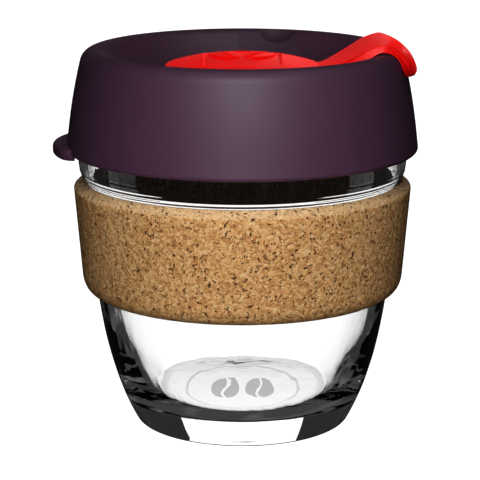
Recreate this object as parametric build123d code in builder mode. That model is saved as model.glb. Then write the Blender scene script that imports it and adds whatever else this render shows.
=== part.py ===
"""Reusable glass coffee cup with a cork band, a press-on lid and a swivelling drinking plug.

Units are millimetres. The cup stands on XY at z = 0 and its axis is +Z. The drinking
opening faces +X, the lid's pull tab points to -X.
"""
from build123d import *
from math import cos, radians, sin
import os

# ---- driving dimensions -------------------------------------------------------------
# glass cup
FOOT_OUTER_R = 25.9         # outer edge of the ring that touches the table
FOOT_INNER_R = 21.8         # inner edge of that ring, where the hollow underside starts
HEEL_WIDTH = 1.5            # rounded edge between the foot and the side
HEEL_HEIGHT = 0.9
PUNT_HEIGHT = 0.9           # how far the underside is hollowed at the axis
PUNT_EDGE_R = 21.4          # and beside the foot ring
PUNT_EDGE_HEIGHT = 0.6
FLOOR_Z = 7.0               # inner floor, above a thick glass base
FLOOR_R = 19.6              # flat part of the inner floor
GLASS_TOP_Z = 80.5          # drinking rim of the glass
GLASS_TOP_OUTER_R = 41.1
GLASS_TOP_INNER_R = 39.45
GLASS_RIM_ROUND = 0.82

# cork band
BAND_BOTTOM_Z = 34.2
BAND_TOP_Z = 63.1           # inner edge of the top, inside the groove of the glass
BAND_SHOULDER_Z = 61.0      # outer edge of the sloping top
BAND_TOP_R = 42.4
BAND_TOP_ROUND = 0.6        # at the shoulder
BAND_LOW_ROUND = 4.4        # height of the rounded lower edge
BAND_BOTTOM_R = 40.6
BAND_LOW_MIDDLE = (39.6, 35.55)
BAND_UNDER_R = 37.65        # where the rounded lower edge meets the underside
BAND_FIT = 0.15             # radial gap between cork and glass

# lid
LID_BOTTOM_Z = 70.0
LID_WIDEST_R = 44.0
LID_MIDDLE = (42.6, 81.7)   # (radius, height) halfway up the skirt
LID_BOTTOM_ROUND = 0.9
SKIRT_INNER_R = 41.7        # at the open edge
SKIRT_THROAT_R = 41.42      # level with the glass rim
CREST_R = 36.85             # centre of the rounded crest
CREST_Z = 91.72
CREST_ROUND = 3.61
WALL = 2.0
WELL_FLOOR_Z = 87.4
WELL_CORNER_R = 6.0         # concave round between the well's wall and its floor
SEAL_OUTER_R = 39.0         # ring that hangs inside the glass
SEAL_INNER_R = 37.7
SEAL_BOTTOM_Z = 76.5
SEAL_TOP_Z = 93.9           # inside the crest's wall
RIB_COUNT = 12
RIB_THICKNESS = 1.2
RIM_GAP = 0.1               # the ribs stop just above the glass rim
TAB_REACH = 47.6            # furthest point of the pull tab from the axis
TAB_NOSE_R = 24.0
TAB_WIDTH = 26.2
TAB_CORNER_R = 4.5
TAB_BOTTOM_Z = 68.9
TAB_THICKNESS = 3.0
TAB_EDGE_ROUND = 1.0
TAB_ROOT_DEPTH = 0.9        # how far it reaches into the skirt

# drinking opening, dock for the plug and vent
SIP_R = 23.0                # distance of the opening from the axis
SIP_LENGTH = 12.0
SIP_WIDTH = 5.6
DOCK_ANGLE = 110.0          # where the plug parks, measured from +X
DOCK_DEPTH = 2.4
DOCK_FLOOR = 1.2
DOCK_MARGIN = 2.0
RECESS_START = 91.5         # shallow thumb recess in the well's wall, behind the dock
RECESS_ARC = 40.0
RECESS_DEPTH = 1.0
SCOOP_ANGLE = 74.0          # small spherical scoop in the crest beside that recess
SCOOP_R = 8.5
SCOOP_CENTRE_R = 30.8
SCOOP_CENTRE_Z = 100.6
VENT_R = 0.9

# plug: disc, stem, arm and stopper
BORE_R = 4.05
STEM_R = 4.0
BARB_R = 5.2
BARB_TIP_Z = 82.5
BARB_TIP_R = 3.2
DISC_R = 19.4
DISC_EDGE_Z = 91.0
DISC_TOP_Z = 94.0
DISC_GAP = 0.3              # between the disc and the well's floor, and under that floor
DISC_WALL = 2.0
PANEL_LENGTH = 19.0
PANEL_WIDTH = 26.0
PANEL_ROUND = 4.0
PANEL_DEPTH = 0.55          # sunk into the dome
BEAN_LENGTH = 13.0          # two coffee beans in low relief on the panel
BEAN_WIDTH = 7.2
BEAN_SPACING = 4.4          # from the axis to the middle of each bean
BEAN_TURN = 22.0
BEAN_CREASE = 0.7
BEAN_DEPTH = 0.1            # their tops, below the dome
HINGE_R = 1.75              # thin bending neck between disc and arm, kept as a round joint
HINGE_X = 18.6
HINGE_FIT = 0.1
ARM_ROOT_WIDTH = 13.0
ARM_TIP_WIDTH = 24.4
ARM_FLARE = ((22.0, 8.0), (25.0, 10.3), (29.0, 11.7))   # (x, half width) seen from above
ARM_CORNER_R = 5.0          # at the tip, seen from above
ARM_SWING = 35.0            # how far the arm lifts
ARM_GAP = 0.25              # between the arm and the lid's crest
ARM_CREST_Z = 97.7
ARM_REACH = 43.45
ARM_TIP_Z = 88.4
TIP_SLOPE = 0.8             # how far the tip's inside stands out from the crest's circle
TIP_ROUND = 1.1
HOOK_START = radians(125)   # where the underside meets the circle round the crest
HOOK_END = radians(4)
STOPPER_TOP_Z = 90.0
STOPPER_BOTTOM_Z = 85.3
STOPPER_FIT = 0.1
STOPPER_TAPER = 6.0

# ---- shared geometry of the lid -----------------------------------------------------
WALL_LEAN = radians(13.9)                 # lean of the skirt where it meets the crest
WELL_START = radians(135)                 # where the crest turns into the well's wall
floor_under_z = WELL_FLOOR_Z - WALL
disc_under_z = WELL_FLOOR_Z + DISC_GAP
barb_top_z = floor_under_z - DISC_GAP


def on_crest(angle, radius):
    """A point on the crest's section, at an angle from +r and a radius from its centre."""
    return (CREST_R + radius * cos(angle), CREST_Z + radius * sin(angle))


# the well's wall falls at 45 degrees from the crest and turns into the floor on a round
diagonal = cos(radians(45))
well_top = on_crest(WELL_START, CREST_ROUND)
wall_foot_z = WELL_FLOOR_Z + WELL_CORNER_R * (1 - diagonal)
wall_foot = (well_top[0] - (well_top[1] - wall_foot_z), wall_foot_z)
floor_edge_r = wall_foot[0] - WELL_CORNER_R * diagonal
under_round = WELL_CORNER_R + WALL
under_foot = (floor_edge_r + under_round * diagonal,
              WELL_FLOOR_Z + WELL_CORNER_R - under_round * diagonal)


# ---- glass cup ----------------------------------------------------------------------
GLASS_SIDE = ((29.85, 6), (32.1, 12), (34.35, 20), (36.25, 30), (38.1, 44))   # (radius, height)
NECK = (39.4, 58.0)         # narrowest place, behind the band's top
SHOULDER = ((39.65, 62.4), (40.45, 63.7), (40.9, 65.2), (41.12, 67.6))
GLASS_INSIDE = ((39.4, 73), (38.9, 65), (37.6, 57), (35.6, 46), (33.2, 34), (31.4, 25.5),
                (28.3, 16.6), (25.2, 10.6), (22.6, 8.0))
rim_base_z = GLASS_TOP_Z - GLASS_RIM_ROUND


def glass_outside(shift):
    """Lines of the cup's outer wall, moved out by shift, from the foot to the rim's round."""
    heel_start = (FOOT_OUTER_R + shift, 0)
    heel_end = (FOOT_OUTER_R + HEEL_WIDTH + shift, HEEL_HEIGHT)
    Line((0, 0), heel_start)
    TangentArc(heel_start, heel_end, tangent=(1, 0))
    Spline(heel_end, *[(r + shift, z) for r, z in GLASS_SIDE], (NECK[0] + shift, NECK[1]),
           tangents=((0.55, 1), (0.06, 1)))
    Spline((NECK[0] + shift, NECK[1]), *[(r + shift, z) for r, z in SHOULDER],
           (GLASS_TOP_OUTER_R + shift, rim_base_z), tangents=((0.06, 1), (-0.01, 1)))


with BuildPart() as glass_cup:
    with BuildSketch(Plane.XZ):
        with BuildLine():
            glass_outside(0)
            rim_middle_r = (GLASS_TOP_OUTER_R + GLASS_TOP_INNER_R) / 2
            inner_rim = (GLASS_TOP_INNER_R, rim_base_z)
            ThreePointArc((GLASS_TOP_OUTER_R, rim_base_z), (rim_middle_r, GLASS_TOP_Z), inner_rim)
            Spline(inner_rim, *GLASS_INSIDE, (FLOOR_R, FLOOR_Z), tangents=((-0.01, -1), (-1, 0)))
            Polyline((FLOOR_R, FLOOR_Z), (0, FLOOR_Z), (0, 0))
        make_face()
        with BuildLine():
            Polyline((FOOT_INNER_R, 0), (0, 0), (0, PUNT_HEIGHT))
            punt_edge = (PUNT_EDGE_R, PUNT_EDGE_HEIGHT)
            Spline((0, PUNT_HEIGHT), punt_edge, tangents=((1, 0), (1, -0.03)))
            Line(punt_edge, (FOOT_INNER_R, 0))
        make_face(mode=Mode.SUBTRACT)
    revolve(axis=Axis.Z)
glass_cup.part.label = "glass_cup"

# ---- cork band: its bore follows the glass ----------------------------------------------
with BuildPart() as cork_band:
    with BuildSketch(Plane.XZ):
        with BuildLine():
            top_inner = (NECK[0], BAND_TOP_Z)
            top_outer = (BAND_TOP_R - BAND_TOP_ROUND, BAND_SHOULDER_Z + BAND_TOP_ROUND / 2)
            shoulder = (BAND_TOP_R - BAND_TOP_ROUND / 4, BAND_SHOULDER_Z)
            side_top = (BAND_TOP_R, BAND_SHOULDER_Z - BAND_TOP_ROUND)
            side_bottom = (BAND_BOTTOM_R, BAND_BOTTOM_Z + BAND_LOW_ROUND)
            under = (BAND_UNDER_R, BAND_BOTTOM_Z)
            Line(top_inner, top_outer)
            ThreePointArc(top_outer, shoulder, side_top)
            Line(side_top, side_bottom)
            ThreePointArc(side_bottom, BAND_LOW_MIDDLE, under)
            Polyline(under, (GLASS_SIDE[2][0], BAND_BOTTOM_Z), (GLASS_SIDE[2][0], BAND_TOP_Z),
                     top_inner)
        make_face()
        with BuildLine():
            glass_outside(BAND_FIT)
            Polyline((GLASS_TOP_OUTER_R + BAND_FIT, rim_base_z), (0, rim_base_z), (0, 0))
        make_face(mode=Mode.SUBTRACT)
    revolve(axis=Axis.Z)
cork_band.part.label = "cork_band"

# ---- lid ----------------------------------------------------------------------------
with BuildPart() as pull_tab:
    with BuildSketch(Plane.XY.offset(TAB_BOTTOM_Z)) as tab_plan:
        with Locations((TAB_NOSE_R - TAB_REACH, 0)):
            Circle(TAB_NOSE_R)
            Rectangle(2 * TAB_NOSE_R, TAB_WIDTH, mode=Mode.INTERSECT)
        fillet(tab_plan.vertices(), radius=TAB_CORNER_R)
    extrude(amount=TAB_THICKNESS)
    fillet(pull_tab.faces().filter_by(Axis.Z).edges(), radius=TAB_EDGE_ROUND)
    Cylinder(LID_WIDEST_R - TAB_ROOT_DEPTH, 3 * LID_BOTTOM_Z, mode=Mode.SUBTRACT)

with BuildPart() as rib:
    with BuildSketch(Plane.XZ):
        rib_inner_r = SEAL_OUTER_R - 0.6
        rib_bottom_z = GLASS_TOP_Z + RIM_GAP
        Polygon((rib_inner_r, rib_bottom_z), (SKIRT_THROAT_R + 0.3, rib_bottom_z),
                (39.6, 90.5), (38.7, 92.9), (rib_inner_r, 93.6), align=None)
    extrude(amount=RIB_THICKNESS / 2, both=True)

with BuildPart() as lid:
    # the shell: skirt, rounded crest, sloping well and flat floor
    with BuildSketch(Plane.XZ):
        with BuildLine():
            round_middle = LID_BOTTOM_ROUND * (1 - cos(radians(45)))
            edge_start = (LID_WIDEST_R - LID_BOTTOM_ROUND, LID_BOTTOM_Z)
            edge_middle = (LID_WIDEST_R - round_middle, LID_BOTTOM_Z + round_middle)
            skirt_start = (LID_WIDEST_R, LID_BOTTOM_Z + LID_BOTTOM_ROUND)
            skirt_end = on_crest(WALL_LEAN, CREST_ROUND)
            throat = (SKIRT_THROAT_R, GLASS_TOP_Z + 1.0)
            inner_round = CREST_ROUND - WALL
            Line((SKIRT_INNER_R, LID_BOTTOM_Z), edge_start)
            ThreePointArc(edge_start, edge_middle, skirt_start)
            Spline(skirt_start, LID_MIDDLE, skirt_end,
                   tangents=((-0.107, 1), (-sin(WALL_LEAN), cos(WALL_LEAN))))
            ThreePointArc(skirt_end, on_crest(radians(80), CREST_ROUND), well_top)
            Line(well_top, wall_foot)
            TangentArc(wall_foot, (floor_edge_r, WELL_FLOOR_Z), tangent=(-1, -1))
            Line((floor_edge_r, WELL_FLOOR_Z), (BORE_R, WELL_FLOOR_Z))
            Line((BORE_R, WELL_FLOOR_Z), (BORE_R, floor_under_z))
            Line((BORE_R, floor_under_z), (floor_edge_r, floor_under_z))
            TangentArc((floor_edge_r, floor_under_z), under_foot, tangent=(1, 0))
            Line(under_foot, on_crest(WELL_START, inner_round))
            ThreePointArc(on_crest(WELL_START, inner_round), on_crest(radians(70), inner_round),
                          on_crest(0, inner_round))
            Line(on_crest(0, inner_round), throat)
            Line(throat, (SKIRT_INNER_R, LID_BOTTOM_Z))
        make_face()
    revolve(axis=Axis.Z)
    # the sealing ring that hangs inside the glass, and the ribs that rest on its rim
    with BuildSketch(Plane.XY.offset(SEAL_BOTTOM_Z)):
        Circle(SEAL_OUTER_R)
        Circle(SEAL_INNER_R, mode=Mode.SUBTRACT)
    extrude(amount=SEAL_TOP_Z - SEAL_BOTTOM_Z)
    with PolarLocations(0, RIB_COUNT, 360 / RIB_COUNT / 2):
        add(rib.part)
    add(pull_tab.part)
    # the drinking opening, and the boss and blind socket where the stopper parks
    with BuildSketch(Plane.XY.offset(WELL_FLOOR_Z - DOCK_DEPTH - DOCK_FLOOR)):
        with PolarLocations(SIP_R, 1, DOCK_ANGLE):
            SlotOverall(SIP_LENGTH + 2 * DOCK_MARGIN, SIP_WIDTH + 2 * DOCK_MARGIN, rotation=90)
    extrude(amount=DOCK_DEPTH + DOCK_FLOOR - WALL / 2)
    with BuildSketch(Plane.XY.offset(WELL_FLOOR_Z - DOCK_DEPTH)):
        with PolarLocations(SIP_R, 1, DOCK_ANGLE):
            SlotOverall(SIP_LENGTH, SIP_WIDTH, rotation=90)
    extrude(amount=2 * DOCK_DEPTH, mode=Mode.SUBTRACT)
    with BuildSketch(Plane.XY.offset(floor_under_z - 1)):
        with PolarLocations(SIP_R, 1):
            SlotOverall(SIP_LENGTH, SIP_WIDTH, rotation=90)
        with PolarLocations(SIP_R, 1, 180):
            Circle(VENT_R)
    extrude(amount=2 * WALL, mode=Mode.SUBTRACT)
    # the shallow recess in the well's wall, and the scoop in the crest
    with BuildSketch(Plane.XZ.rotated((0, 0, RECESS_START))):
        recess_low = (wall_foot[0] - 0.6, wall_foot[1] - 0.5)
        recess_corner = (recess_low[0] + RECESS_DEPTH, recess_low[1] - RECESS_DEPTH / 3)
        Polygon(well_top, recess_low, recess_corner, align=None)
    revolve(axis=Axis.Z, revolution_arc=RECESS_ARC, mode=Mode.SUBTRACT)
    with PolarLocations(SCOOP_CENTRE_R, 1, SCOOP_ANGLE):
        with Locations((0, 0, SCOOP_CENTRE_Z)):
            Sphere(SCOOP_R, mode=Mode.SUBTRACT)
lid.part.label = "lid"

# ---- plug: domed disc with its snap-in stem -------------------------------------------
dome_r = (DISC_R ** 2 + (DISC_TOP_Z - DISC_EDGE_Z) ** 2) / (2 * (DISC_TOP_Z - DISC_EDGE_Z))
dome_centre_z = DISC_TOP_Z - dome_r
hinge_z = (DISC_EDGE_Z + disc_under_z) / 2
# the groove in the disc that the root of the lifting arm turns into
groove_angle = radians(90 + ARM_SWING + 3)
groove_length = 2 * HINGE_R
groove_end = (HINGE_X + groove_length * cos(groove_angle),
              hinge_z + groove_length * sin(groove_angle))


def dome_point(r, depth):
    """A point on the dome at a distance r from the axis, sunk by depth."""
    return (r, dome_centre_z + ((dome_r - depth) ** 2 - r ** 2) ** 0.5)


with BuildPart() as panel_cut:
    with BuildSketch(Plane.XY.offset(DISC_EDGE_Z - 1)):
        RectangleRounded(PANEL_LENGTH, PANEL_WIDTH, PANEL_ROUND)
    extrude(amount=DISC_TOP_Z - DISC_EDGE_Z + 2)
    with Locations((0, 0, dome_centre_z)):
        Sphere(dome_r - PANEL_DEPTH, mode=Mode.SUBTRACT)

with BuildPart() as beans:
    with BuildSketch(Plane.XY.offset(DISC_EDGE_Z)):
        for side in (-1, 1):
            with Locations(Location((side * BEAN_SPACING, 0, 0), (0, 0, -side * BEAN_TURN))):
                Ellipse(BEAN_WIDTH / 2, BEAN_LENGTH / 2)
                Rectangle(BEAN_CREASE, BEAN_LENGTH, mode=Mode.SUBTRACT)
    extrude(amount=DISC_TOP_Z - DISC_EDGE_Z)
    with Locations((0, 0, dome_centre_z)):
        Sphere(dome_r - BEAN_DEPTH, mode=Mode.INTERSECT)

with BuildPart() as plug_disc:
    with BuildSketch(Plane.XZ):
        with BuildLine():
            Line((0, BARB_TIP_Z), (0, DISC_TOP_Z))
            ThreePointArc((0, DISC_TOP_Z), dome_point(DISC_R / 2, 0), (DISC_R, DISC_EDGE_Z))
            Polyline((DISC_R, DISC_EDGE_Z), (DISC_R, disc_under_z + 0.5),
                     (DISC_R - 0.5, disc_under_z), (DISC_R - DISC_WALL, disc_under_z),
                     dome_point(DISC_R - DISC_WALL, DISC_WALL))
            ThreePointArc(dome_point(DISC_R - DISC_WALL, DISC_WALL),
                          dome_point(DISC_R / 2, DISC_WALL), dome_point(STEM_R, DISC_WALL))
            Polyline(dome_point(STEM_R, DISC_WALL), (STEM_R, barb_top_z), (BARB_R, barb_top_z),
                     (BARB_R, barb_top_z - 0.6), (BARB_TIP_R, BARB_TIP_Z), (0, BARB_TIP_Z))
        make_face()
    revolve(axis=Axis.Z)
    add(panel_cut.part, mode=Mode.SUBTRACT)
    add(beans.part)
    with BuildSketch(Plane.XZ):
        with Locations((HINGE_X, hinge_z)):
            Circle(HINGE_R + HINGE_FIT)
            Rectangle(2 * HINGE_R + 1, 3 * HINGE_R, align=(Align.MIN, Align.CENTER))
        Polygon((HINGE_X, hinge_z), (HINGE_X, hinge_z + groove_length), groove_end, align=None)
    extrude(amount=ARM_ROOT_WIDTH / 2 + DISC_GAP, both=True, mode=Mode.SUBTRACT)
plug_disc.part.label = "plug_disc"

# ---- plug: stopper that fills the drinking opening ------------------------------------
with BuildPart() as plug_stopper:
    with BuildSketch(Plane.XY.offset(STOPPER_TOP_Z)):
        with PolarLocations(SIP_R, 1):
            SlotOverall(SIP_LENGTH - 2 * STOPPER_FIT, SIP_WIDTH - 2 * STOPPER_FIT, rotation=90)
    extrude(amount=STOPPER_BOTTOM_Z - STOPPER_TOP_Z, taper=STOPPER_TAPER)
plug_stopper.part.label = "plug_stopper"

# ---- plug: arm that lifts, bends over the crest and hooks down outside it ---------------
with BuildPart() as plug_arm:
    with BuildSketch(Plane.XZ):
        with BuildLine():
            hook_r = CREST_ROUND + ARM_GAP
            # the ring-shaped crest lies nearer to the axis beside the arm than at its middle
            near_crest_x = (CREST_R ** 2 - (ARM_TIP_WIDTH / 2) ** 2) ** 0.5
            root_top = (HINGE_X, hinge_z + HINGE_R)
            root_bottom = (HINGE_X, hinge_z - HINGE_R)
            near_shift = near_crest_x - CREST_R
            hook_start, hook_rise = [
                (x + near_shift, z)
                for x, z in (on_crest(HOOK_START, hook_r), on_crest(radians(107), hook_r))]
            hook_top = (near_crest_x, CREST_Z + hook_r)
            hook_end = on_crest(HOOK_END, hook_r)
            tip_inner = (CREST_R + hook_r + TIP_SLOPE, ARM_TIP_Z + TIP_ROUND / 2)
            tip_bottom = ((tip_inner[0] + ARM_REACH) / 2, ARM_TIP_Z)
            tip_outer = (ARM_REACH, ARM_TIP_Z + TIP_ROUND)
            Spline(root_top, (22.0, 91.9), (25.0, 93.3), (27.8, 94.9), (30.7, 96.5),
                   (33.3, 97.4), (35.6, ARM_CREST_Z), (38.1, 97.0), (40.7, 95.1), (42.5, 92.7),
                   tip_outer,
                   tangents=((1, 0.1), (0.12, -1)))
            Spline(root_bottom, (21.6, 88.2), (25.0, 89.9), (28.4, 91.9), hook_start,
                   tangents=((1, 0), (sin(HOOK_START), -cos(HOOK_START))))
            ThreePointArc(hook_start, hook_rise, hook_top)
            Line(hook_top, on_crest(radians(90), hook_r))
            ThreePointArc(on_crest(radians(90), hook_r), on_crest(radians(45), hook_r), hook_end)
            Line(hook_end, tip_inner)
            ThreePointArc(tip_inner, tip_bottom, tip_outer)
            ThreePointArc(root_top, (HINGE_X - HINGE_R, hinge_z), root_bottom)
        make_face()
    extrude(amount=ARM_TIP_WIDTH / 2, both=True)
    # seen from above it flares from the disc to the crest
    with BuildSketch(Plane.XY.offset(STOPPER_BOTTOM_Z)) as arm_plan:
        with BuildLine():
            root_x = HINGE_X - 2 * HINGE_R
            half = ARM_TIP_WIDTH / 2
            waist = (HINGE_X + HINGE_R, ARM_ROOT_WIDTH / 2)
            flare = Spline(waist, *ARM_FLARE, (CREST_R - CREST_ROUND, half),
                           tangents=((1, 0.1), (1, 0)))
            Line(flare @ 1, (ARM_REACH - ARM_CORNER_R, half))
            RadiusArc((ARM_REACH - ARM_CORNER_R, half), (ARM_REACH, half - ARM_CORNER_R),
                      ARM_CORNER_R)
            Polyline((ARM_REACH, half - ARM_CORNER_R), (ARM_REACH, 0), (root_x, 0),
                     (root_x, waist[1]), waist)
        make_face()
        mirror(about=Plane.XZ)
    extrude(amount=2 * (ARM_CREST_Z - STOPPER_BOTTOM_Z), mode=Mode.INTERSECT)
    add(plug_stopper.part, mode=Mode.SUBTRACT)
plug_arm.part.label = "plug_arm"

# ---- files --------------------------------------------------------------------------
os.makedirs("parts", exist_ok=True)
export_step(glass_cup.part, "parts/glass_cup.step")
export_step(cork_band.part, "parts/cork_band.step")
export_step(lid.part, "parts/lid.step")
export_step(plug_disc.part, "parts/plug_disc.step")
export_step(plug_stopper.part, "parts/plug_stopper.step")
export_step(plug_arm.part, "parts/plug_arm.step")
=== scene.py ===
"""Looks of the reusable glass coffee cup: fine meshes, materials, light and camera.

The outlines are in millimetres, like the part's own drawing, and become metres in the meshes.
"""
import math

import bpy
import numpy as np
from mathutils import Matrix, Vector, noise


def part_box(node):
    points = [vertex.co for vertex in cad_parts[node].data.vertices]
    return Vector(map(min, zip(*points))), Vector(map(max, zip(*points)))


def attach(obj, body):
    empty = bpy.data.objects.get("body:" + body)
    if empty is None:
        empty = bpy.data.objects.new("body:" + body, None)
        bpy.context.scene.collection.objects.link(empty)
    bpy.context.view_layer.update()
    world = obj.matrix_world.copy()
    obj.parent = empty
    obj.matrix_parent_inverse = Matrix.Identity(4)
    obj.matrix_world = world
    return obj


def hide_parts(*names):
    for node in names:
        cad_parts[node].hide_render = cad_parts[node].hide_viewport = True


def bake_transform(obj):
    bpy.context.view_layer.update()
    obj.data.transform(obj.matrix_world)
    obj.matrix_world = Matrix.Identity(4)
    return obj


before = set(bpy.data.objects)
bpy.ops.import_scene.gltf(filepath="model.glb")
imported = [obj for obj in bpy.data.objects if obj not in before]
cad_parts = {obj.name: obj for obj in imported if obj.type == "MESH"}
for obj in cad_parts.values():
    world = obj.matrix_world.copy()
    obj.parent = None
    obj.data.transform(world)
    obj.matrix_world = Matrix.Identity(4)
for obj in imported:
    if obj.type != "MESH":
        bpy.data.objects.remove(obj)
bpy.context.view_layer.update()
scene = bpy.context.scene

MM = 0.001


def corner_mm(node, corner):
    """The low (0) or high (1) corner of a node's box, in millimetres."""
    return [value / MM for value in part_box(node)[corner]]


# ---- curves ---------------------------------------------------------------------------
def smooth_line(points, count, start=None, end=None):
    """Points along a cubic spline through the given ones, with optional end directions."""
    knots = np.array(points, float)
    steps = np.linalg.norm(np.diff(knots, axis=0), axis=1)
    along = np.concatenate([[0], np.cumsum(steps)])
    size = len(knots)
    system, wanted = np.zeros((size, size)), np.zeros(knots.shape)
    for i in range(1, size - 1):
        before, after = steps[i - 1], steps[i]
        system[i, i - 1:i + 2] = after, 2 * (before + after), before
        wanted[i] = 3 * (after * (knots[i] - knots[i - 1]) / before
                         + before * (knots[i + 1] - knots[i]) / after)
    first, last = (knots[1] - knots[0]) / steps[0], (knots[-1] - knots[-2]) / steps[-1]
    for i, other, direction, slope in ((0, 1, start, first), (-1, -2, end, last)):
        system[i, i] = 1
        if direction is None:
            system[i, i], system[i, other] = 2, 1
            wanted[i] = 3 * slope
        else:
            wanted[i] = np.array(direction, float) / np.linalg.norm(direction)
    slopes = np.linalg.solve(system, wanted)
    result = []
    for s in np.linspace(0, along[-1], count):
        i = min(int(np.searchsorted(along, s, side="right")) - 1, size - 2)
        h = steps[i]
        t = (s - along[i]) / h
        result.append(knots[i] * (1 + 2 * t) * (1 - t) ** 2 + slopes[i] * h * t * (1 - t) ** 2
                      + knots[i + 1] * t * t * (3 - 2 * t) + slopes[i + 1] * h * t * t * (t - 1))
    return [tuple(p) for p in result]


def straight(start, end, count):
    """Evenly spaced points from start to end, both included."""
    return [tuple(p) for p in np.linspace(start, end, count)]


def arc(centre, radius, start, end, count):
    """Points on a circle, between two angles in degrees."""
    angles = np.radians(np.linspace(start, end, count))
    return [(centre[0] + radius * math.cos(a), centre[1] + radius * math.sin(a)) for a in angles]


def ramp_between(low, high, value):
    """0 below low, 1 above high and a smooth step between them."""
    t = min(max((value - low) / (high - low), 0), 1)
    return t * t * (3 - 2 * t)


def rounded_end(left, reach):
    """0 as long as left is more than reach, then up to 1 at the end along a quarter circle."""
    return 1 - math.sqrt(max(1 - max(1 - left / reach, 0) ** 2, 0))


# ---- meshes ---------------------------------------------------------------------------
def add_object(name, vertices, faces, material):
    """A smooth-shaded mesh in the scene, from vertices in millimetres."""
    mesh = bpy.data.meshes.new(name)
    mesh.from_pydata([(x * MM, y * MM, z * MM) for x, y, z in vertices], [], faces)
    mesh.materials.append(material)
    mesh.polygons.foreach_set("use_smooth", [True] * len(mesh.polygons))
    mesh.update()
    piece = bpy.data.objects.new(name, mesh)
    scene.collection.objects.link(piece)
    return piece


def lathe(name, profile, segments, material, shape, ring=False):
    """A solid turned about Z. A profile that starts and ends on the axis closes on it, and a
    ring's profile closes on itself. shape gives the real radius and height of a point of the
    profile, from its radius, its turn about Z and its height."""
    turns = [2 * math.pi * i / segments for i in range(segments)]
    vertices, rows = [], []
    for radius, height in profile:
        if radius < 1e-6:
            rows.append([len(vertices)])
            vertices.append((0, 0, height))
            continue
        rows.append(list(range(len(vertices), len(vertices) + segments)))
        for turn in turns:
            r, z = shape(radius, turn, height)
            vertices.append((r * math.cos(turn), r * math.sin(turn), z))
    faces = []
    pairs = list(zip(rows, rows[1:])) + ([(rows[-1], rows[0])] if ring else [])
    for low, high in pairs:
        for i in range(segments):
            j = (i + 1) % segments
            if len(low) == 1:
                faces.append((low[0], high[j], high[i]))
            elif len(high) == 1:
                faces.append((low[i], low[j], high[0]))
            else:
                faces.append((low[i], low[j], high[j], high[i]))
    return add_object(name, vertices, faces, material)


# ---- node helpers -----------------------------------------------------------------------
def new_material(name):
    """A material with its node tree and its Principled shader."""
    material = bpy.data.materials.new(name)
    material.use_nodes = True
    tree = material.node_tree
    return material, tree, tree.nodes["Principled BSDF"]


def add_node(tree, kind, inputs=None, **settings):
    """A node with its properties and input values set."""
    node = tree.nodes.new("ShaderNode" + kind)
    for key, value in settings.items():
        setattr(node, key, value)
    for key, value in (inputs or {}).items():
        node.inputs[key].default_value = value
    return node


def maths(tree, operation, first, second=None):
    """The output of a math node on sockets or numbers."""
    node = add_node(tree, "Math", operation=operation)
    for i, value in enumerate((first, second)):
        if value is None:
            continue
        if isinstance(value, (int, float)):
            node.inputs[i].default_value = value
        else:
            tree.links.new(value, node.inputs[i])
    return node.outputs[0]


def plan_place(tree, output):
    """How far a point is from the Y and the X axis, and its Z, in the given coordinates."""
    place = add_node(tree, "TexCoord")
    split = add_node(tree, "SeparateXYZ")
    tree.links.new(place.outputs[output], split.inputs[0])
    across, along = [maths(tree, "ABSOLUTE", split.outputs[i]) for i in (0, 1)]
    return across, along, split.outputs[2]


def coordinates(tree, scale=(1, 1, 1)):
    """Object coordinates in millimetres, stretched by scale."""
    place = add_node(tree, "TexCoord")
    mapping = add_node(tree, "Mapping", {"Scale": [s / MM for s in scale]})
    tree.links.new(place.outputs["Object"], mapping.inputs["Vector"])
    return mapping.outputs["Vector"]


def texture(tree, kind, vector, inputs=None, output=0, **settings):
    """An output of a texture node that is read at vector."""
    node = add_node(tree, kind, inputs, **settings)
    tree.links.new(vector, node.inputs["Vector"])
    return node.outputs[output]


def colours(tree, factor, stops):
    """A colour ramp through (position, colour) stops."""
    ramp = add_node(tree, "ValToRGB")
    elements = ramp.color_ramp.elements
    while len(elements) < len(stops):
        elements.new(0.5)
    for element, (position, colour) in zip(elements, stops):
        element.position = position
        element.color = (*colour, 1)
    tree.links.new(factor, ramp.inputs[0])
    return ramp.outputs[0]


def mix_colour(tree, factor, first, second, blend="MIX"):
    """The output of a colour mix of sockets, colours or numbers."""
    node = add_node(tree, "Mix", data_type="RGBA", blend_type=blend)
    for socket, value in ((node.inputs[0], factor), (node.inputs[6], first), (node.inputs[7], second)):
        if isinstance(value, (int, float)):
            socket.default_value = value
        elif isinstance(value, tuple):
            socket.default_value = (*value, 1)
        else:
            tree.links.new(value, socket)
    return node.outputs[2]


def bump(tree, height, distance):
    """A bump that is distance millimetres high where the height is 1."""
    node = add_node(tree, "Bump", {"Distance": distance * MM, "Strength": 1.0})
    tree.links.new(height, node.inputs["Height"])
    return node.outputs[0]


# ---- materials --------------------------------------------------------------------------
CORK_SHOULDER_Z = 61.0      # the band's sloping top starts at this height


def glass_material(name, roughness):
    """Slightly uneven pressed glass, clear at no roughness and frosted at more."""
    material, tree, shader = new_material(name)
    shader.inputs["Base Color"].default_value = (1, 1, 1, 1)
    shader.inputs["Transmission Weight"].default_value = 1
    shader.inputs["Roughness"].default_value = roughness
    shader.inputs["IOR"].default_value = 1.5
    place = coordinates(tree, (1, 1, 0.35))
    uneven = texture(tree, "TexNoise", place, {"Scale": 0.12, "Detail": 2.0, "Distortion": 0.6})
    tree.links.new(bump(tree, uneven, 0.1), shader.inputs["Normal"])
    return material


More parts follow.
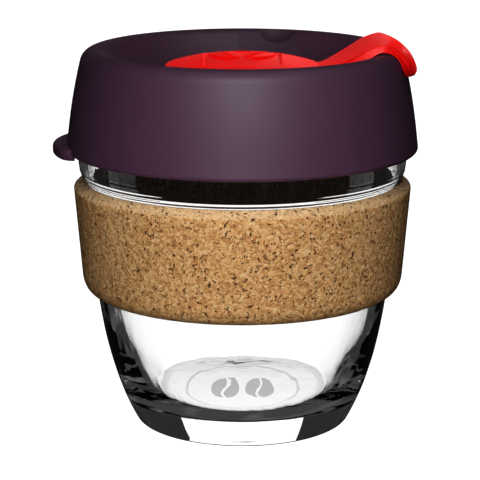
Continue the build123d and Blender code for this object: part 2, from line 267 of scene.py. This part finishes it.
def print_material():
    """A faint grey print that lets most light through."""
    material, tree, shader = new_material("grey_print")
    place = coordinates(tree)
    worn = texture(tree, "TexNoise", place, {"Scale": 1.5, "Detail": 3.0})
    tree.links.new(colours(tree, worn, [(0.3, (0.50, 0.50, 0.50)), (0.7, (0.58, 0.58, 0.58))]),
                   shader.inputs["Base Color"])
    shader.inputs["Alpha"].default_value = 0.27
    shader.inputs["Roughness"].default_value = 0.6
    return material


def cork_material():
    """Pressed cork: tan granules of mixed shades, dark seams and bark specks, and a painted
    highlight that lightens the sloping top, for the light that falls on it."""
    material, tree, shader = new_material("pressed_cork")
    place = coordinates(tree)
    warp = texture(tree, "TexNoise", place, {"Scale": 0.9, "Detail": 3.0}, output=1)
    shifted = add_node(tree, "VectorMath", operation="MULTIPLY_ADD")
    tree.links.new(warp, shifted.inputs[0])
    shifted.inputs[1].default_value = (0.8, 0.8, 0.8)
    tree.links.new(place, shifted.inputs[2])
    bent = shifted.outputs[0]
    granule = texture(tree, "TexVoronoi", bent, {"Scale": 1.5}, output=1)
    shade = add_node(tree, "SeparateColor")
    tree.links.new(granule, shade.inputs[0])
    base = colours(tree, shade.outputs[0], [(0.0, (0.48, 0.215, 0.068)), (0.25, (0.64, 0.32, 0.11)),
                                            (0.6, (0.78, 0.42, 0.16)), (1.0, (0.90, 0.56, 0.26))])
    fine = texture(tree, "TexNoise", place, {"Scale": 2.6, "Detail": 4.0, "Roughness": 0.65})
    mottled = mix_colour(tree, 0.75, base, colours(tree, fine, [(0.3, (0.3, 0.27, 0.24)),
                                                                 (0.7, (0.72, 0.72, 0.72))]), "OVERLAY")
    edge = texture(tree, "TexVoronoi", bent, {"Scale": 1.5}, feature="DISTANCE_TO_EDGE")
    seam = colours(tree, edge, [(0.0, (0.55, 0.5, 0.45)), (0.09, (1, 1, 1))])
    seamed = mix_colour(tree, 0.6, mottled, seam, "MULTIPLY")
    cells = texture(tree, "TexVoronoi", bent, {"Scale": 1.7})
    chance = texture(tree, "TexNoise", place, {"Scale": 1.2, "Detail": 2.0})
    speck = maths(tree, "SUBTRACT", chance, maths(tree, "MULTIPLY", cells, 0.34))
    dark = colours(tree, speck, [(0.45, (0, 0, 0)), (0.52, (1, 1, 1))])
    parted = add_node(tree, "SeparateXYZ")
    tree.links.new(place, parted.inputs[0])
    # painted highlight: the sloping top is mixed towards a light tan, for the light that falls on it
    top_highlight_mask = add_node(tree, "MapRange", {"From Min": CORK_SHOULDER_Z - 0.3,
                                      "From Max": CORK_SHOULDER_Z + 0.2, "To Max": 0.3})
    tree.links.new(parted.outputs[2], top_highlight_mask.inputs[0])
    top_highlighted = mix_colour(tree, top_highlight_mask.outputs[0], seamed, (1.0, 0.76, 0.45))
    specked = mix_colour(tree, dark, top_highlighted, (0.085, 0.032, 0.01))
    tree.links.new(specked, shader.inputs["Base Color"])
    shader.inputs["Roughness"].default_value = 0.85
    shader.inputs["Specular IOR Level"].default_value = 0.25
    relief = maths(tree, "SUBTRACT", maths(tree, "ADD", maths(tree, "MULTIPLY", fine, 0.6), edge), dark)
    tree.links.new(bump(tree, relief, 0.16), shader.inputs["Normal"])
    return material


def moulded_material(name, cloud, shades, grain, roughness, relief):
    """A moulded plastic or rubber: two shades in a faint cloud, and the fine grain of its mould
    with a range of roughness and a relief in millimetres. cloud and grain are noise settings."""
    material, tree, shader = new_material(name)
    place = coordinates(tree)
    cloudy = texture(tree, "TexNoise", place, cloud)
    tree.links.new(colours(tree, cloudy, list(zip((0.3, 0.7), shades))), shader.inputs["Base Color"])
    fine = texture(tree, "TexNoise", place, grain)
    rough = add_node(tree, "MapRange", {"To Min": roughness[0], "To Max": roughness[1]})
    tree.links.new(fine, rough.inputs[0])
    tree.links.new(rough.outputs[0], shader.inputs["Roughness"])
    tree.links.new(bump(tree, fine, relief), shader.inputs["Normal"])
    return material


def lid_material():
    """Dark aubergine matt plastic."""
    return moulded_material(
        "aubergine_plastic",
        cloud={"Scale": 0.07, "Detail": 3.0}, shades=((0.078, 0.030, 0.066), (0.086, 0.033, 0.073)),
        grain={"Scale": 5.0, "Detail": 3.0, "Roughness": 0.6}, roughness=(0.46, 0.6), relief=0.02)


def plug_material():
    """Red satin rubber."""
    return moulded_material(
        "red_rubber",
        cloud={"Scale": 0.15, "Detail": 2.0}, shades=((0.74, 0.0015, 0.001), (0.82, 0.002, 0.0015)),
        grain={"Scale": 2.2, "Detail": 4.0, "Roughness": 0.7}, roughness=(0.3, 0.46), relief=0.05)


# ---- glass cup --------------------------------------------------------------------------
GLASS_SEGMENTS = 320
RIM_OUTER, RIM_INNER, RIM_ROUND = 41.1, 39.45, 0.82
FOOT_R, HEEL = 25.9, 1.0                # the flat foot's edge, and the height of its round edge
HOLLOW_R, HOLLOW_Z = 21.8, 0.6          # of the underside
FLOOR_R, FLOOR_Z = 17.5, 7.0            # the flat inside
MARK_R, MARK_HALF = 15.3, 0.45          # frosted ring under the base
FROST_Z = 0.7                           # what lies lower on the foot and the ring is frosted
NECK_R, NECK_LOW, NECK_HIGH = 39.55, 62, 66     # the flare outside, with its ripples
RIPPLE, RIPPLE_PITCH = 0.03, 1.1
SWELL, STREAK = 0.06, 0.035             # of the uneven skin
TRUE_R = 40                             # the rim's outside lies past this radius and stays true


def skin_noise(turn, z, busy, height):
    """Noise on a skin: the larger busy is, the more it changes round the cup, and height is about
    how far up it takes to change."""
    return noise.noise(Vector((busy * math.cos(turn), busy * math.sin(turn), z / height)))


def uneven_glass(r, turn, z):
    """The uneven skin that pressing leaves inside and out, and the ripples round the neck. The
    base and the rim's outside stay true."""
    if r > NECK_R and NECK_LOW < z < NECK_HIGH:
        return r + RIPPLE * math.sin(2 * math.pi * z / RIPPLE_PITCH), z
    if r > TRUE_R or z < FLOOR_Z:
        return r, z
    return r + SWELL * skin_noise(turn, z, 4, 40) + STREAK * skin_noise(turn, z, 5, 4), z


def glass_profile(foot_z, rim_z):
    """From the middle of the underside, round the foot, up, over the rim and down inside."""
    rim_middle, rim_half = (RIM_OUTER + RIM_INNER) / 2, (RIM_OUTER - RIM_INNER) / 2
    heel_top = (FOOT_R + 1.5, foot_z + HEEL)
    neck = (39.4, 58)
    hollow = [(r, foot_z + HOLLOW_Z * (1 - (r / HOLLOW_R) ** 2)) for r in np.linspace(0, HOLLOW_R, 54)]
    foot = straight((HOLLOW_R, foot_z), (FOOT_R, foot_z), 5)[1:]
    foot += smooth_line([(FOOT_R, foot_z), heel_top], 7, start=(1, 0), end=(0.55, 1))[1:-1]
    outer = smooth_line([heel_top, (29.85, 6), (32.1, 12), (34.35, 20), (36.25, 30), (38.1, 44),
                         neck], 80, start=(0.55, 1), end=(0.06, 1))
    outer += smooth_line([neck, (39.6, 62.3), (40.2, 63.5), (40.75, 64.7), (41.05, 66.2),
                          (RIM_OUTER, rim_z - RIM_ROUND)], 150, start=(0.06, 1), end=(0, 1))[1:]
    rim = [(rim_middle + rim_half * math.cos(a), rim_z - RIM_ROUND + RIM_ROUND * math.sin(a))
           for a in np.linspace(0, math.pi, 13)[1:-1]]
    inner = smooth_line([(RIM_INNER, rim_z - RIM_ROUND), (39.4, 73), (38.9, 65), (37.6, 57),
                         (35.6, 46), (33.2, 34), (31.4, 25.5), (28.3, 16.6), (25.2, 10.6),
                         (22.6, 8.0), (19.6, FLOOR_Z)], 130, start=(-0.01, -1), end=(-1, 0))
    floor = straight((FLOOR_R, FLOOR_Z), (1.5, FLOOR_Z), 6) + [(0, FLOOR_Z)]
    return hollow + foot + outer + rim + inner + floor


def make_glass(material, frosted):
    """The glass cup. Its foot and a ring under its base are frosted."""
    profile = glass_profile(corner_mm("glass_cup", 0)[2], corner_mm("glass_cup", 1)[2])
    cup = lathe("glass_body", profile, GLASS_SEGMENTS, material, uneven_glass)
    cup.data.materials.append(frosted)
    for face in cup.data.polygons:
        reach = math.hypot(face.center.x, face.center.y) / MM
        on_foot = HOLLOW_R < reach < FOOT_R + 0.1
        if face.center.z < FROST_Z * MM and (on_foot or abs(reach - MARK_R) < MARK_HALF):
            face.material_index = 1
    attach(cup, "cup")
    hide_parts("glass_cup")


PRINT_LENGTH, PRINT_WIDTH = 13.0, 7.6   # of one printed bean
PRINT_SPACING = 4.6                     # from the axis to the middle of a bean
PRINT_GAP = 0.35                        # from the middle of a bean's crease to its edge
PRINT_BEND = 0.09 * PRINT_WIDTH         # of the crease, sideways
PRINT_BOTTOM, PRINT_TOP = 0.30, 0.34    # heights of the film


def bean_half(middle, side):
    """Outline of half a printed coffee bean, between its crease and its rounded side."""
    count = 24
    crease = [(side * PRINT_GAP + PRINT_BEND * math.sin(math.pi * t), t * PRINT_LENGTH / 2)
              for t in np.linspace(0.94, -0.94, count)]
    rim = [(side * math.cos(a) * PRINT_WIDTH / 2, math.sin(a) * PRINT_LENGTH / 2)
           for a in np.linspace(-1.2, 1.2, count)]
    return [(middle + x, y) for x, y in crease + rim]


def make_print(material):
    """Two printed coffee beans under the cup's base, as a thin film in its hollow."""
    vertices, faces = [], []
    for middle in (-PRINT_SPACING, PRINT_SPACING):
        for side in (-1, 1):
            outline = bean_half(middle, side)
            first, count = len(vertices), len(outline)
            for z in (PRINT_BOTTOM, PRINT_TOP):
                vertices += [(x, y, z) for x, y in outline]
            low = list(range(first, first + count))
            high = list(range(first + count, first + 2 * count))
            order = 1 if side > 0 else -1
            faces += [tuple(low[::-order]), tuple(high[::order])]
            for i in range(count):
                j = (i + 1) % count
                faces.append((low[i], low[j], high[j], high[i])[::order])
    film = add_object("floor_print", vertices, faces, material)
    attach(film, "cup")


# ---- cork band --------------------------------------------------------------------------
CORK_SEGMENTS = 660
CORK_BORE_R = 39.9          # the bore lies inside this radius
PORE_DEPTH, GRAIN_DEPTH = 0.14, 0.03


def make_cork(material):
    """The cork band, a ring whose bore follows the glass."""
    low, high = corner_mm("cork_band", 0), corner_mm("cork_band", 1)
    under_z, top_r = low[2], high[0]
    side_foot = (top_r - 1.8, under_z + 4.4)
    profile = straight((40.0, 62.75), (top_r - 0.6, CORK_SHOULDER_Z + 0.35), 8)
    profile += arc((top_r - 0.75, CORK_SHOULDER_Z - 0.45), 0.75, 70, 5, 5)
    profile += straight((top_r, CORK_SHOULDER_Z - 0.8), side_foot, 58)
    profile += smooth_line([side_foot, (side_foot[0] - 1.0, under_z + 1.35), (37.65, under_z)],
                           15, start=(-0.09, -1), end=(-1, -0.25))[1:]
    profile += straight((37.2, under_z), (38.35, 44), 6) + straight((38.6, 47), (39.5, 58), 6)
    profile += [(39.62, 61.5), (39.8, 62.5)]

    def rough(r, turn, z):
        """Small open pores and the grain of a cut cork face."""
        if r < CORK_BORE_R and z > under_z + 0.5:
            return r, z
        spot = Vector((r * math.cos(turn), r * math.sin(turn), z))
        pore = ramp_between(0.28, 0.5, noise.noise(spot * 0.8))
        grain = 1 + noise.noise(spot * 1.7)
        return r - PORE_DEPTH * pore - GRAIN_DEPTH * grain, z

    band = lathe("cork_sleeve", profile, CORK_SEGMENTS, material, rough, ring=True)
    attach(band, "band")
    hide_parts("cork_band")
    return band


# ---- plug -------------------------------------------------------------------------------
DISC_SEGMENTS = 360
DISC_R = 19.4
DISC_EDGE_Z, DISC_TOP_Z = 91.0, 94.0
DISC_UNDER_Z = 87.7         # the foot of the disc's rim
DOME_RISE = DISC_TOP_Z - DISC_EDGE_Z
DOME_R = (DISC_R ** 2 + DOME_RISE ** 2) / (2 * DOME_RISE)
DOME_RINGS = 110
EDGE_ROUND, EDGE_DROP = 0.6, 0.45       # the rounded edge of the dome
PANEL_LENGTH, PANEL_WIDTH, PANEL_ROUND, PANEL_DEPTH = 19.0, 26.0, 4.0, 0.55
BEAN_LENGTH, BEAN_WIDTH, BEAN_SPACING, BEAN_TURN = 13.0, 7.2, 4.4, 22.0
BEAN_RISE, BEAN_CROWN = 0.5, 0.25
CREASE_BEND, CREASE_DEPTH = 0.55, 0.85
STEM_R, BARB_R, BARB_TOP = 4.0, 5.2, 85.1


def panel_depth(x, y):
    """How far the disc lies below the plain dome at a point: a sunk panel and two raised beans."""
    dx = max(abs(x) - (PANEL_LENGTH / 2 - PANEL_ROUND), 0)
    dy = max(abs(y) - (PANEL_WIDTH / 2 - PANEL_ROUND), 0)
    inside = PANEL_ROUND - math.hypot(dx, dy)
    depth = PANEL_DEPTH * ramp_between(-0.2, 0.35, inside)
    for side in (-1, 1):
        turn = math.radians(-side * BEAN_TURN)
        u = (x - side * BEAN_SPACING) * math.cos(turn) + y * math.sin(turn)
        v = -(x - side * BEAN_SPACING) * math.sin(turn) + y * math.cos(turn)
        away = math.hypot(u / (BEAN_WIDTH / 2), v / (BEAN_LENGTH / 2))
        crease = CREASE_BEND * math.sin(v / BEAN_LENGTH * 5.0)
        groove = 1 - ramp_between(0.25, 0.6, abs(u - crease))
        swell = (1 - ramp_between(0.86, 1.06, away)) * (1 - CREASE_DEPTH * groove)
        depth -= swell * (BEAN_RISE + BEAN_CROWN * max(1 - away * away, 0))
    return depth


def make_disc(material):
    """The domed disc, with its rim, underside and snap-in stem."""
    foot_z = corner_mm("plug_disc", 0)[2]
    # the dome's points have no height yet: domed gives it to them
    top = [(DISC_R * i / DOME_RINGS, 0) for i in range(DOME_RINGS, 0, -1)]

    def domed(r, turn, z):
        if z:
            return r, z
        x, y = r * math.cos(turn), r * math.sin(turn)
        height = DISC_TOP_Z - DOME_R + math.sqrt(DOME_R ** 2 - r * r)
        return r, height - panel_depth(x, y) - EDGE_DROP * rounded_end(DISC_R - r, EDGE_ROUND)

    profile = [(0, foot_z), (2.2, foot_z), (3.2, foot_z + 0.15), (BARB_R, BARB_TOP - 0.6),
               (BARB_R, BARB_TOP), (STEM_R, BARB_TOP), (STEM_R, 90.6), (8, 91.2), (13, 90.3),
               (DISC_R - 2.2, 89.4), (DISC_R - 2.0, DISC_UNDER_Z), (DISC_R - 0.5, DISC_UNDER_Z),
               (DISC_R, DISC_UNDER_Z + 0.5), (DISC_R, DISC_EDGE_Z - 0.9)]
    profile += top + [(0, 93.4)]
    disc = lathe("plug_dome", profile, DISC_SEGMENTS, material, domed)
    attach(disc, "plug")
    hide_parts("plug_disc")
    return disc


# stations along the arm: top of the crown and underside, as (x, z), from the disc to the tip
ARM_STATIONS = (((15.6, 91.6), (15.6, 89.2)), ((18.6, 91.15), (18.6, 88.4)),
                ((22.0, 92.1), (22.6, 88.9)), ((25.0, 93.5), (25.9, 90.4)),
                ((27.8, 95.1), (28.9, 92.3)), ((30.7, 96.75), (31.3, 94.35)),
                ((33.3, 97.65), (33.4, 95.6)), ((35.6, 97.9), (35.6, 95.65)),
                ((38.1, 97.2), (37.9, 95.4)), ((40.7, 95.3), (39.75, 94.2)),
                ((42.6, 92.7), (40.95, 91.8)), ((43.6, 89.7), (41.55, 89.2)))
# its outline seen from above, as (x, half width)
ARM_PLAN = ((15.6, 6.4), (18.6, 6.4), (20.4, 6.6), (22.0, 8.0), (25.0, 10.3), (29.0, 11.7),
            (33.2, 12.2), (38.0, 12.2), (44.0, 12.2))
ARM_ROWS, PLAN_POINTS, CROWN_POINTS = 96, 120, 18
ARM_CROWN = 0.45
HOOK_R = 41.2               # of the circle that the hook follows, seen from above
HOOK_START, HOOK_FULL = 33, 39
TIP_NARROWING, TIP_NARROWS_OVER = 0.3, 3.6
TIP_THINNING, TIP_THINS_OVER = 0.45, 1.2


def arm_section():
    """Half of the arm's section, from the middle of the top to the middle of the underside, as
    (part of the half width, depth in mm, part of the thickness)."""
    points = [(y, ARM_CROWN * y ** 2.4, 0) for y in np.linspace(0, 0.94, CROWN_POINTS)]
    edge = points[-1][1]
    points += [(0.962, edge + 0.04, 0), (0.976, edge + 0.1, 0), (0.984, edge + 0.2, 0),
               (0.972, edge + 0.28, 0), (0.972, edge + 0.38, 0), (0.992, edge + 0.46, 0),
               (1.0, edge + 0.6, 0)]
    # the sides slant outward to their lower edge
    points += [(1.035, edge + 0.6, 0.3), (1.075, edge + 0.3, 0.7), (1.09, 0, 0.92),
               (1.08, 0, 0.985), (1.04, 0, 1.0)]
    points += [(y, 0, 1.0) for y in np.linspace(0.95, 0, 8)]
    return points


def make_arm(material):
    """The lifting arm: crowned top, a fine bead line, smooth sides and a rounded hooked tip."""
    tops = smooth_line([top for top, under in ARM_STATIONS], ARM_ROWS)
    unders = smooth_line([under for top, under in ARM_STATIONS], ARM_ROWS)
    outline = list(zip(*smooth_line(ARM_PLAN, PLAN_POINTS)))
    half = arm_section()
    ring = half + [(-y, d, p) for y, d, p in half[-2:0:-1]]
    vertices, faces = [], []
    size = len(ring)
    last = len(tops) - 1
    steps = np.linalg.norm(np.diff(np.array(tops), axis=0), axis=1)
    along = np.concatenate([[0], np.cumsum(steps)])
    for i, (top, under) in enumerate(zip(tops, unders)):
        axis = np.array(under) - np.array(top)
        thick = np.linalg.norm(axis)
        middle, down = thick / 2, axis / thick
        left = along[last] - along[i]
        # the tip is rounded in plan and in thickness
        narrow = 1 - TIP_NARROWING * rounded_end(left, TIP_NARROWS_OVER)
        thin = 1 - TIP_THINNING * rounded_end(left, TIP_THINS_OVER)
        half_width = narrow * np.interp(top[0], *outline)
        for y, depth, part in ring:
            down_by = min(depth * thin * (1 - part) + thick * part, thick)
            x, z = np.array(top) + down * (middle + (down_by - middle) * thin)
            # the hook follows the round crest
            across = y * half_width
            x -= across ** 2 / (2 * HOOK_R) * ramp_between(HOOK_START, HOOK_FULL, x)
            vertices.append((x, across, z))
    for i in range(last):
        for j in range(size):
            k = (j + 1) % size
            a, b = i * size, (i + 1) * size
            faces.append((a + j, b + j, b + k, a + k))
    faces.append(tuple(range(size)))
    faces.append(tuple(reversed(range(last * size, (last + 1) * size))))
    arm = add_object("plug_lever", vertices, faces, material)
    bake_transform(arm)
    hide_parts("plug_arm")
    return arm


# ---- studio -----------------------------------------------------------------------------
AMBIENT = 0.008             # on everything
SEEN = 1.3                  # where the white is seen: more than 1, as glass takes some of it
WORLD_IN_GLASS = 0.025      # for what glass bends elsewhere
CARD_WIDTH = 0.4            # half a card's width over its distance
CARD_FOOT = 0.12            # all is bright below this rise
FLOOR_HALF = 3000           # millimetres
FLOOR_NEAR, FLOOR_FAR = 0.20, 0.28      # metres from the axis, dim inside and bright outside
FLOOR_IN_GLASS, GLINT, GLINT_ABOVE = 0.05, 0.6, 0.52
BESIDE = 4.0                # a place counts as beside the cup if |x| is over 4 |y|


def through_glass_only(tree, glass_dark, cards=False):
    """Bright for what the camera sees directly or straight through glass, and dark for the rest.
    cards keeps what glass bends upward bright only where four white cards stand, along the axes."""
    path = add_node(tree, "LightPath")
    plain = maths(tree, "MULTIPLY",
                  maths(tree, "LESS_THAN", path.outputs["Glossy Depth"], 0.5),
                  maths(tree, "LESS_THAN", path.outputs["Diffuse Depth"], 0.5))
    if cards:
        across, along, rise = plan_place(tree, "Generated")
        card = maths(tree, "MAXIMUM",
                     maths(tree, "LESS_THAN", across, maths(tree, "MULTIPLY", along, CARD_WIDTH)),
                     maths(tree, "LESS_THAN", along, maths(tree, "MULTIPLY", across, CARD_WIDTH)))
        level = maths(tree, "LESS_THAN", rise, CARD_FOOT)
        plain = maths(tree, "MULTIPLY", plain, maths(tree, "MAXIMUM", level, card))
    straight_through = maths(tree, "MULTIPLY", path.outputs["Is Transmission Ray"], plain)
    seen = maths(tree, "MAXIMUM", path.outputs["Is Camera Ray"], straight_through)
    in_glass = maths(tree, "GREATER_THAN", path.outputs["Transmission Depth"], 0.5)
    dark = maths(tree, "MAXIMUM", maths(tree, "MULTIPLY", in_glass, glass_dark), AMBIENT)
    return maths(tree, "MAXIMUM", maths(tree, "MULTIPLY", seen, SEEN), dark)


def make_world():
    """White surroundings, with cards for the glass to bend."""
    world = bpy.data.worlds.new("studio")
    scene.world = world
    world.use_nodes = True
    tree = world.node_tree
    background = tree.nodes["Background"]
    background.inputs["Color"].default_value = (1, 1, 1, 1)
    tree.links.new(through_glass_only(tree, WORLD_IN_GLASS, cards=True), background.inputs["Strength"])


def make_floor():
    """A plain white floor that gives no light of its own to the object. Glass bends a few glints
    of it and, further away, its white."""
    material, tree, shader = new_material("floor_white")
    tree.nodes.remove(shader)
    glow = add_node(tree, "Emission")
    place = add_node(tree, "TexCoord").outputs["Object"]
    patches = texture(tree, "TexNoise", place, {"Scale": 45.0, "Detail": 2.0})
    glint = maths(tree, "MAXIMUM", 0.0, maths(tree, "SUBTRACT", patches, GLINT_ABOVE))
    glints = maths(tree, "ADD", FLOOR_IN_GLASS, maths(tree, "MULTIPLY", GLINT, glint))
    away = add_node(tree, "VectorMath", operation="LENGTH")
    tree.links.new(place, away.inputs[0])
    far = add_node(tree, "MapRange", {"From Min": FLOOR_NEAR, "From Max": FLOOR_FAR})
    tree.links.new(away.outputs["Value"], far.inputs[0])
    path = add_node(tree, "LightPath")
    across, along, _ = plan_place(tree, "Object")
    beside = maths(tree, "GREATER_THAN", across, maths(tree, "MULTIPLY", along, BESIDE))
    unmirrored = maths(tree, "LESS_THAN", path.outputs["Glossy Depth"], 0.5)
    undimmed = maths(tree, "MULTIPLY", maths(tree, "LESS_THAN", path.outputs["Diffuse Depth"], 0.5),
                     maths(tree, "MAXIMUM", beside, unmirrored))
    bright = maths(tree, "MAXIMUM", glints, maths(tree, "MULTIPLY", far.outputs[0], undimmed))
    tree.links.new(through_glass_only(tree, bright), glow.inputs["Strength"])
    tree.links.new(glow.outputs[0], tree.nodes["Material Output"].inputs[0])
    corners = [(x * FLOOR_HALF, y * FLOOR_HALF, 0) for x, y in ((-1, -1), (1, -1), (1, 1), (-1, 1))]
    floor = add_object("floor", corners, [(0, 1, 2, 3)], material)


LIT_CENTRE = Vector((0, 0, 0.08))


def area_light(name, azimuth, elevation, distance, size, strength, diffuse=True, glossy=True,
               only=None):
    """A square soft light on a sphere round the cup. Azimuth 0 is straight in front and grows
    to the right. strength is the light that arrives at the cup, 1 being a full white."""
    data = bpy.data.lights.new(name, "AREA")
    data.shape = "SQUARE"
    data.size = size
    data.energy = strength * math.pi ** 2 * distance ** 2
    light = bpy.data.objects.new(name, data)
    scene.collection.objects.link(light)
    turn, rise = math.radians(azimuth), math.radians(elevation)
    out = Vector((math.sin(turn) * math.cos(rise), -math.cos(turn) * math.cos(rise), math.sin(rise)))
    light.location = LIT_CENTRE + out * distance
    light.rotation_euler = out.to_track_quat("Z", "Y").to_euler()
    light.visible_camera = False
    light.visible_transmission = False
    light.visible_diffuse = diffuse
    light.visible_glossy = glossy
    if only:
        group = bpy.data.collections.new(name + "_reach")
        for piece in only:
            group.objects.link(piece)
        light.light_linking.receiver_collection = group


CAMERA_DISTANCE = 0.500
CAMERA_HEIGHT = 0.1646
CAMERA_SIDE = -0.0006
CAMERA_PITCH = math.radians(13.33)      # looking down
CAMERA_LENS, CAMERA_SENSOR = 151.65, 36         # millimetres


def make_camera():
    """The photo's camera."""
    data = bpy.data.cameras.new("camera")
    data.lens = CAMERA_LENS
    data.sensor_width = CAMERA_SENSOR
    data.clip_start = 0.01
    camera = bpy.data.objects.new("camera", data)
    scene.collection.objects.link(camera)
    camera.location = (CAMERA_SIDE, -CAMERA_DISTANCE, CAMERA_HEIGHT)
    camera.rotation_euler = (math.pi / 2 - CAMERA_PITCH, 0, 0)
    scene.camera = camera


make_camera()
make_world()
make_floor()
scene.view_settings.view_transform = "Standard"
red = plug_material()
make_glass(glass_material("clear_glass", 0), glass_material("frosted_glass", 0.45))
make_print(print_material())
cork = make_cork(cork_material())
red_pieces = [make_disc(red), make_arm(red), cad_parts["plug_stopper"]]
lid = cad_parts["lid"]
for piece, look in ((lid, lid_material()), (red_pieces[-1], red)):
    piece.data.materials.clear()
    piece.data.materials.append(look)

# azimuth and elevation in degrees, distance and size in metres, and strength
area_light("key", -1.5, 8, 0.21, 0.10, 0.545, glossy=False)
area_light("gloss", -1, 31, 0.40, 0.10, 0.6, diffuse=False, only=[lid, cork])
area_light("top", 50, 78, 0.50, 0.25, 0.11, only=[lid])
area_light("plug_top", -30, 60, 0.40, 0.15, 0.90, glossy=False, only=red_pieces)
area_light("plug_back", 150, 12, 0.40, 0.05, 2.40, glossy=False, only=red_pieces)
area_light("plug_gloss", 170, 22, 0.40, 0.06, 0.006, diffuse=False, only=red_pieces)
area_light("arm_gloss", -15, 55, 0.40, 0.14, 0.6, diffuse=False, only=red_pieces[1:2])
area_light("cork_top", 0, 52, 0.40, 0.15, 0.40, glossy=False, only=[cork])
area_light("back", 180, 12, 0.60, 0.40, 0.55, glossy=False)
